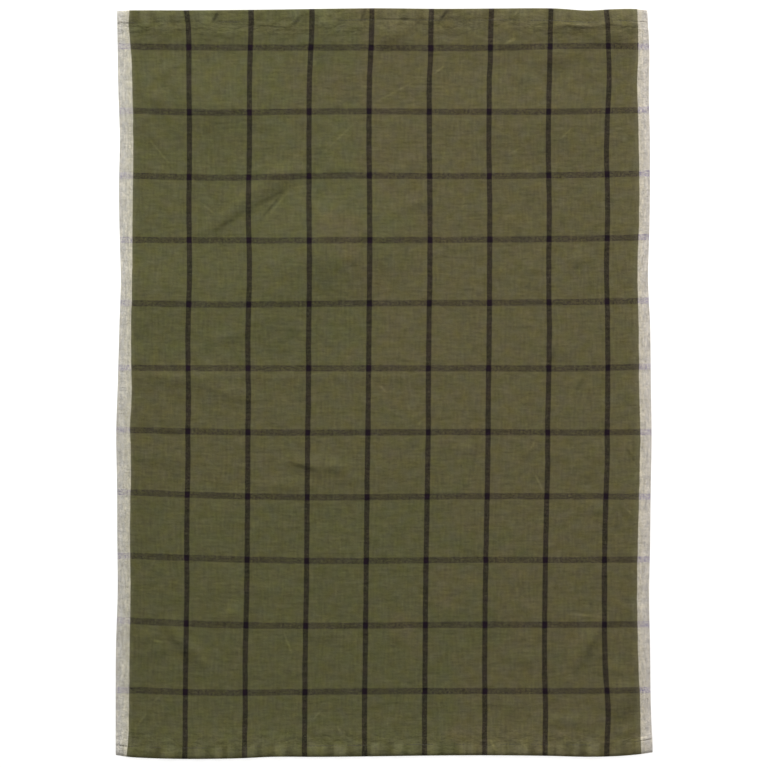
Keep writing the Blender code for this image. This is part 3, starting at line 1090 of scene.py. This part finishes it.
border = weave.maths("MULTIPLY_ADD", weave.step(up_mm, *BORDER_TURN), BORDER_SHIFT, BORDER_ACROSS)
wander = weave.noise(across_mm, up_mm, 60.0, 60.0, 11.3, detail=3.0)
from_border = weave.maths("SUBTRACT", across_mm, border)
past_border = weave.maths("MULTIPLY_ADD", wander, BORDER_WANDER, from_border)
brown_right = weave.step(past_border, -BORDER_SOFTNESS, BORDER_SOFTNESS)
from_band = weave.maths("ABSOLUTE", weave.maths("SUBTRACT", up_mm, BAND_UP))
brown_band = weave.maths("MULTIPLY", weave.step(from_band, *BAND_EDGE), BAND_SHARE)
brownness = weave.maths("MAXIMUM", brown_right, brown_band)
print("the border lies", BORDER_ACROSS, "to", BORDER_ACROSS + BORDER_SHIFT, "mm across")

# %% [markdown]
# ### Paler and darker areas
#
# Some areas are paler than the rest and others darker: the lower part grows darker towards the bottom, the
# right edge and a band near each end are paler, and the left edge is darker. An area is the product of two
# smooth steps, and the list says how much paler it makes the cloth. The differences are small.

# %% Paler and darker areas
LESS_ON_BROWN = -0.6  # where the cloth is browner, the lower part's deeper colour is this much weaker


def overlap(first, second):
    """1 where two areas overlap and 0 elsewhere."""
    return weave.maths("MULTIPLY", first, second)


# Each step below goes from where its area begins to where it is full, in millimetres.
off_brown = weave.maths("MULTIPLY_ADD", brown_right, LESS_ON_BROWN, 1.0)
lower_part = overlap(weave.step(up_mm, 430.0, 130.0), off_brown)
right_edge = overlap(weave.step(across_mm, 440.0, 500.0), weave.step(up_mm, 150.0, 280.0))
left_edge = overlap(weave.step(across_mm, 85.0, 25.0), weave.step(up_mm, 400.0, 340.0))
from_end = weave.maths("MINIMUM", up_mm, weave.maths("SUBTRACT", TOWEL_LENGTH / MM, up_mm))
hem_ends = weave.step(from_end, 34.0, 20.0)
below_top_hem = overlap(weave.step(up_mm, 620.0, 655.0), weave.step(up_mm, 692.0, 680.0))
tones = (
    (lower_part, -0.06),
    (right_edge, 0.05),
    (left_edge, -0.035),
    (hem_ends, 0.018),
    (below_top_hem, 0.022),
)
toned = 1.0
for toned_area, paler_by in tones:
    toned = weave.maths("MULTIPLY_ADD", toned_area, paler_by, toned)
print(len(tones), "areas are worn paler or deeper, by up to", max(abs(paler_by) for _, paler_by in tones))

# %% [markdown]
# ### The lengthwise yarns
#
# The lengthwise yarn is olive, with black and violet stripes of the check and grey and cream strips at
# the sides. The olive also has a faint cast that changes from place to place, as old dye has. Each
# choice between two yarns is a mix, and its share is one of the masks made above.

# %% The lengthwise yarns
OLIVE_WARP = (0.0959, 0.0894, 0.0366)
VIOLET_WARP = (0.0105, 0.0058, 0.0062)
BLACK_WARP = (0.0060, 0.0048, 0.0030)
GREY_YARN = (0.450, 0.434, 0.392)
CREAM_YARN = (0.530, 0.502, 0.423)
RIGHT_TINT = (1.010, 0.975, 0.975)  # the right strip's yarn is a little pinker than the left's
OUTER_TINT = (1.02, 1.02, 1.04)
INNER_TINT = (1.0, 0.985, 0.90)  # the strips grow creamier towards the olive
GREEN_TINT = (0.965, 1.004, 0.960)
BROWN_TINT = (1.040, 0.995, 1.025)
BLUE_CAST = 0.60  # how strongly a noise around 0 changes the blue, and then the red
RED_CAST = 0.17
VIOLET_EDGE = 0.1  # how far a noise has to be from 0 for one yarn alone to show
CREAM_EDGE = 0.16
STRIP_SHADING = (2.0, 12.0)  # millimetres from the side edge, from the outer tint to the inner one

blue_patches = weave.noise(across_mm, up_mm, 10.0, 10.0, 13.9, detail=1.0)
red_patches = weave.noise(across_mm, up_mm, 15.0, 15.0, 17.9, detail=2.0)
blue_cast = weave.maths("MULTIPLY_ADD", blue_patches, BLUE_CAST, 1.0)
red_cast = weave.maths("MULTIPLY_ADD", red_patches, RED_CAST, 1.0)
tint = weave.tinted(weave.mix(brownness, GREEN_TINT, BROWN_TINT), weave.vector(red_cast, 1.0, blue_cast))
violet_patches = weave.noise(across_mm, up_mm, 9.0, 11.0, 19.0, detail=1.0)
on_violet = weave.step(violet_patches, -VIOLET_EDGE, VIOLET_EDGE)
dark_warp = weave.mix(on_violet, BLACK_WARP, VIOLET_WARP)
warp_yarn = weave.mix(on_long, weave.tinted(OLIVE_WARP, tint), dark_warp)
cream_patches = weave.noise(across_mm, up_mm, 2.6, 5.5, 23.0, detail=2.0)
on_cream = weave.step(cream_patches, -CREAM_EDGE, CREAM_EDGE)
pale_yarn = weave.mix(on_cream, GREY_YARN, CREAM_YARN)
pale_yarn = weave.mix(on_right, pale_yarn, weave.tinted(pale_yarn, RIGHT_TINT))
from_side = weave.maths("MINIMUM", across_mm, weave.maths("SUBTRACT", TOWEL_WIDTH / MM, across_mm))
strip_tint = weave.mix(weave.step(from_side, *STRIP_SHADING), OUTER_TINT, INNER_TINT)
pale_yarn = weave.tinted(pale_yarn, strip_tint)
warp_yarn = weave.mix(weave.maths("MAXIMUM", on_pale, paler_beside), warp_yarn, pale_yarn)
print("the cream yarn is", round(CREAM_YARN[1] / OLIVE_WARP[1], 1), "times as bright as the olive")

# %% [markdown]
# ### The crosswise yarns
#
# The crosswise yarn is olive with dark stripes. Both directions' yarns are spun unevenly, so each has
# darker and lighter places along its own length. A noise stretched along the thread gives them.

# %% The crosswise yarns
OLIVE_WEFT = (0.0756, 0.0677, 0.0352)
DARK_WEFT = (0.0105, 0.0040, 0.0118)
PURPLE_WEFT = (0.035, 0.014, 0.160)  # the same thread, but lit up by the pale yarn around it
WARP_UNEVENNESS = 0.66
WEFT_UNEVENNESS = 1.3

dark_weft = weave.mix(on_pale, DARK_WEFT, PURPLE_WEFT)
weft_yarn = weave.mix(on_cross, weave.tinted(OLIVE_WEFT, tint), dark_weft)
warp_streak = weave.noise(across_mm, up_mm, 2.2, 15.0, 21.0, detail=1.0)
weft_streak = weave.noise(across_mm, up_mm, 15.0, 2.2, 31.0, detail=1.0)
warp_yarn = weave.times(warp_yarn, weave.maths("MULTIPLY_ADD", warp_streak, WARP_UNEVENNESS, 1.0))
weft_yarn = weave.times(weft_yarn, weave.maths("MULTIPLY_ADD", weft_streak, WEFT_UNEVENNESS, 1.0))
print("the material has", len(weave.tree.nodes), "nodes so far")

# %% [markdown]
# ### Over and under
#
# A plain weave changes sides at every crossing, like the squares of a chessboard. The product of two
# sine waves has just that pattern. Where it is above a limit the lengthwise thread shows, and a lower
# limit lets it cover more. The pale strips are packed so densely that little else shows there. The
# limit shifts with the thickness of the yarns, so a thick place in a crosswise thread shows as a fleck.

# %% Over and under
THREAD_PITCH = 0.75
# How far each kind of yarn moves the limit. Below 0 the lengthwise thread covers more.
EVERYWHERE = -0.20
LEFT_PALE = -0.46
RIGHT_PALE = -0.42
LONG_DARK = -0.05
CROSS_DARK = 0.20
CROSS_ON_RIGHT = 0.10  # the dark crosswise stripes show this much more on the right strip
CROSS_ON_PALE = 0.05  # and this much more on both strips
GRAIN = 1.5  # how far the yarns' thickness moves it
PALE_GRAIN = 0.6  # the same, on top, on the pale strips
CROSSING_EDGE = 0.15  # how softly one thread gives way to the other
CLOUDINESS = 0.5

wave_across = weave.maths("SINE", weave.maths("MULTIPLY", across_yarn, math.pi / THREAD_PITCH))
wave_up = weave.maths("SINE", weave.maths("MULTIPLY", up_yarn, math.pi / THREAD_PITCH))
checker = weave.maths("MULTIPLY", wave_across, wave_up)
grain = weave.noise(across_mm, up_mm, 1.7, 1.4, 37.0, detail=1.0)
left_packing = weave.maths("MULTIPLY", on_left, LEFT_PALE)
right_packing = weave.maths("MULTIPLY", on_right, RIGHT_PALE)
packing = weave.maths("ADD", left_packing, right_packing)
in_cross = weave.maths("MULTIPLY_ADD", on_right, CROSS_ON_RIGHT, CROSS_DARK)
in_cross = weave.maths("MULTIPLY_ADD", on_pale, CROSS_ON_PALE, in_cross)
packing = weave.maths("MULTIPLY_ADD", on_cross, in_cross, packing)
packing = weave.maths("ADD", packing, weave.maths("MULTIPLY", on_long, LONG_DARK))
coarseness = weave.maths("MULTIPLY_ADD", on_pale, PALE_GRAIN, GRAIN)
limit = weave.maths("MULTIPLY_ADD", grain, coarseness, weave.maths("ADD", packing, EVERYWHERE))
below_limit = weave.maths("SUBTRACT", limit, CROSSING_EDGE)
above_limit = weave.maths("ADD", limit, CROSSING_EDGE)
warp_on_top = weave.step(checker, below_limit, above_limit)
cloudy = weave.noise(across_mm, up_mm, 20.0, 17.0, 43.0, detail=4.0, roughness=0.85)
face_colour = weave.mix(warp_on_top, weft_yarn, warp_yarn)
face_colour = weave.times(face_colour, weave.maths("MULTIPLY_ADD", cloudy, CLOUDINESS, toned))
print("the towel is", round(TOWEL_WIDTH / MM / THREAD_PITCH), "threads wide")

# %% [markdown]
# ### The pleats' painted light and shade
#
# The attribute made with the hems comes in here. It paints the pleats that slope towards the lamp paler and
# those that slope away darker, a little for each millimetre: painted light and shade. The paler ones also
# turn a little grey, a painted sheen.

# %% The pleats' painted light and shade
# Painted light and shade: pleats sloping towards the lamp are made paler, those sloping away darker, and the
# palest are mixed towards a grey as a painted sheen.
PLEAT_SHEEN_GREY = (0.25, 0.26, 0.19)
PLEAT_LIGHT_AND_SHADE = 0.030  # both for each millimetre of the attribute
PLEAT_SHEEN = 0.010
pleat_map = weave.tree.nodes.new("ShaderNodeAttribute")
pleat_map.attribute_name = "pleats"
tilt = pleat_map.outputs["Fac"]
face_colour = weave.times(face_colour, weave.maths("MULTIPLY_ADD", tilt, PLEAT_LIGHT_AND_SHADE, 1.0))
painted_sheen = weave.maths("MULTIPLY", tilt, PLEAT_SHEEN, use_clamp=True)
face_colour = weave.mix(painted_sheen, face_colour, PLEAT_SHEEN_GREY)
print("the steepest pleat is", round(100 * PLEAT_LIGHT_AND_SHADE * float(bottom_tilt.max())), "% paler")

# %% [markdown]
# ### The fine creases
#
# The finest creases are narrower than the mesh's own faces, so they are in the material. Each is a line
# from one thread place to another, a few millimetres wide, with its height. A minus is a groove. They
# lie where the photo shows the clearest ones.

# %% The fine creases
Crease = namedtuple("Crease", "across up to_across to_up half_width height")  # all in millimetres
CREASES = (
    # the long diagonal ones of the upper half
    Crease(19, 587, 55, 548, 1.7, 0.11),
    Crease(180, 554, 232, 604, 1.6, 0.10),
    Crease(237, 611, 279, 634, 1.6, 0.13),
    Crease(293, 639, 305, 648, 1.8, 0.18),
    Crease(133, 503, 155, 530, 1.8, -0.15),
    Crease(137, 502, 160, 531, 1.8, 0.11),
    Crease(74, 523, 96, 505, 1.6, 0.08),
    Crease(83, 489, 121, 513, 3.5, -0.13),
    Crease(121, 513, 167, 538, 3.5, -0.13),
    Crease(414, 578, 425, 588, 1.7, 0.15),
    Crease(362, 562, 378, 571, 1.8, 0.11),
    # about the middle
    Crease(160, 276, 190, 268, 2.8, -0.16),
    Crease(243, 350, 252, 341, 1.8, 0.13),
    Crease(280, 310, 290, 319, 1.7, 0.14),
    Crease(388, 270, 400, 247, 1.7, 0.17),
    Crease(387, 288, 391, 297, 1.8, 0.15),
    Crease(477, 288, 485, 276, 2.0, -0.18),
    Crease(477, 233, 484, 226, 1.8, 0.18),
    # the lower half
    Crease(31, 172, 37, 184, 1.7, 0.15),
    Crease(157, 120, 166, 98, 1.6, 0.14),
    Crease(34, 52, 46, 63, 1.7, 0.17),
    Crease(20, 30, 28, 41, 1.6, 0.15),
    Crease(186, 36, 194, 46, 1.6, 0.15),
    Crease(209, 29, 215, 19, 1.8, 0.17),
    Crease(34, 108, 43, 106, 2.2, 0.18),
    Crease(416, 134, 456, 131, 2.0, 0.11),
    Crease(437, 88, 460, 121, 6.0, -0.05),
    Crease(445, 97, 458, 114, 2.5, 0.05),
    Crease(466, 29, 482, 53, 11.0, -0.09),
    Crease(409, 386, 404, 362, 3.0, -0.10),
    Crease(437, 358, 428, 340, 3.0, -0.10),
    Crease(336, 288, 330, 262, 3.0, -0.09),
    # over the top hem and just below it
    Crease(87, 689, 94, 698, 2.2, -0.26),
    Crease(159, 684, 169, 695, 3.0, -0.24),
    Crease(224, 689, 228, 699, 2.1, -0.22),
    Crease(298, 688, 306, 699, 2.2, -0.26),
    Crease(366, 689, 372, 699, 2.2, 0.18),
    Crease(127, 686, 160, 683, 1.8, -0.18),
    Crease(238, 691, 288, 690, 1.6, -0.16),
    Crease(361, 668, 369, 672, 2.4, 0.30),
    Crease(406, 687, 453, 686, 1.8, 0.16),
    Crease(410, 683, 450, 682, 2.2, -0.18),
    # over the bottom hem
    Crease(352, 14, 357, 4, 2.0, 0.15),
    Crease(380, 14, 386, 5, 2.0, 0.15),
)
print(len(CREASES), "fine creases")

# %% [markdown]
# ### Drawing the creases
#
# Two nodes draw each crease: a mapping lays the thread places along it and stretches them to its length
# and width, and a round gradient fades from its middle. A noise breaks the lines here and there. Ridges
# are also a little paler, partly wear and partly painted highlight, and grooves a little darker, as painted
# shade.

# %% Drawing the creases
# Ridges are made paler, partly as wear and partly as painted highlight; grooves are made darker, which is
# painted shade.
CREASE_WEAR_AND_SHADE = 2.6  # a ridge is worn this much paler for each millimetre of its height
CREASE_GAPS = (-0.28, 0.02)  # the noise's values between which a crease fades out


def crease_shape(crease):
    """1 on the middle of one fine crease, falling to 0 at its ends and its sides."""
    start = Vector((crease.across, crease.up, 0))
    run = Vector((crease.to_across, crease.to_up, 0)) - start
    turned = weave.tree.nodes.new("ShaderNodeMapping")
    turned.vector_type = "TEXTURE"
    weave.feed(turned.inputs["Vector"], thread_place)
    turned.inputs["Location"].default_value = start + run / 2
    turned.inputs["Rotation"].default_value = (0, 0, math.atan2(run.y, run.x))
    turned.inputs["Scale"].default_value = (run.length / 2 + crease.half_width, crease.half_width, 1)
    spot = weave.tree.nodes.new("ShaderNodeTexGradient")
    spot.gradient_type = "SPHERICAL"
    weave.feed(spot.inputs["Vector"], turned.outputs[0])
    return spot.outputs["Fac"]


thread_place = weave.vector(across_mm, up_mm)
creases = 0.0
for crease in CREASES:
    creases = weave.maths("MULTIPLY_ADD", crease_shape(crease), crease.height, creases)
unbroken = weave.step(weave.noise(across_mm, up_mm, 16.0, 16.0, 47.0, detail=2.0), *CREASE_GAPS)
creases = weave.maths("MULTIPLY", creases, unbroken)
face_colour = weave.times(face_colour, weave.maths("MULTIPLY_ADD", creases, CREASE_WEAR_AND_SHADE, 1.0))
print("the creases bring the material to", len(weave.tree.nodes), "nodes")

# %% [markdown]
# ### The relief
#
# Threads, slubs and the faint crinkle of a washed cloth are a few hundredths to a few tenths of a
# millimetre high. As geometry they would need millions of faces. A bump node only tilts the light on
# the surface, which is all that shows. Near the hems the cloth is twice as crinkled.

# %% The relief
THREAD_RELIEF = 0.06  # the height of a thread, in millimetres
SLUB_RELIEF = 0.09  # this and the next two are multiplied by a noise, which is never past half either way
CRINKLE_RELIEF = 0.6
CRUMPLE_RELIEF = 0.9
NEAR_HEM = (32.0, 14.0)  # from an end: where the cloth begins to be more crinkled, and where it is most so

thread_relief = weave.maths("MULTIPLY", weave.maths("ABSOLUTE", checker), THREAD_RELIEF)
slub_relief = weave.maths("MULTIPLY", weave.maths("ADD", warp_streak, weft_streak), SLUB_RELIEF)
crinkle = weave.noise(across_mm, up_mm, 10.0, 7.0, 41.0, detail=3.0, roughness=0.6)
crumple = weave.maths("ABSOLUTE", weave.noise(across_mm, up_mm, 19.0, 15.0, 53.0, detail=2.0))
near_hem = weave.step(from_end, *NEAR_HEM)
crinkle_height = weave.maths("MULTIPLY_ADD", near_hem, CRINKLE_RELIEF, CRINKLE_RELIEF)
crumple_height = weave.maths("MULTIPLY_ADD", near_hem, CRUMPLE_RELIEF, CRUMPLE_RELIEF)
relief = weave.maths("MULTIPLY", crinkle, crinkle_height)
relief = weave.maths("MULTIPLY_ADD", crumple, crumple_height, relief)
for finer in (thread_relief, slub_relief, creases):
    relief = weave.maths("ADD", relief, finer)
bump = weave.tree.nodes.new("ShaderNodeBump")
bump.inputs["Strength"].default_value = 1.0
bump.inputs["Distance"].default_value = MM
weave.feed(bump.inputs["Height"], relief)
weave.feed(shader.inputs["Normal"], bump.outputs[0])
print("the crumples are at most", CRUMPLE_RELIEF / 2, "mm high in the middle, twice that at the hems")

# %% [markdown]
# ### The finish
#
# Washed cotton and linen is matt, with hardly any shine of its own, and its loose fibres catch a little
# light at a low angle. Roughness and a trace of sheen do both.

# %% The finish
FINISH = {
    "Roughness": 0.92,
    "Specular IOR Level": 0.1,
    "Sheen Weight": 0.02,
    "Sheen Roughness": 0.5,
}
weave.feed(shader.inputs["Base Color"], face_colour)
for socket_name, value in FINISH.items():
    shader.inputs[socket_name].default_value = value
thick_mesh.materials.append(cloth_look)
print("the cloth's material has", len(weave.tree.nodes), "nodes in all")

# %% [markdown]
# ## Handing the pieces over
#
# Both pieces ride on the towel's one body. The cloth stands for the packed solid, which is hidden.

# %% Handing the pieces over
for piece in (towel, stitching):
    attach(piece, "root")
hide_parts("cloth")
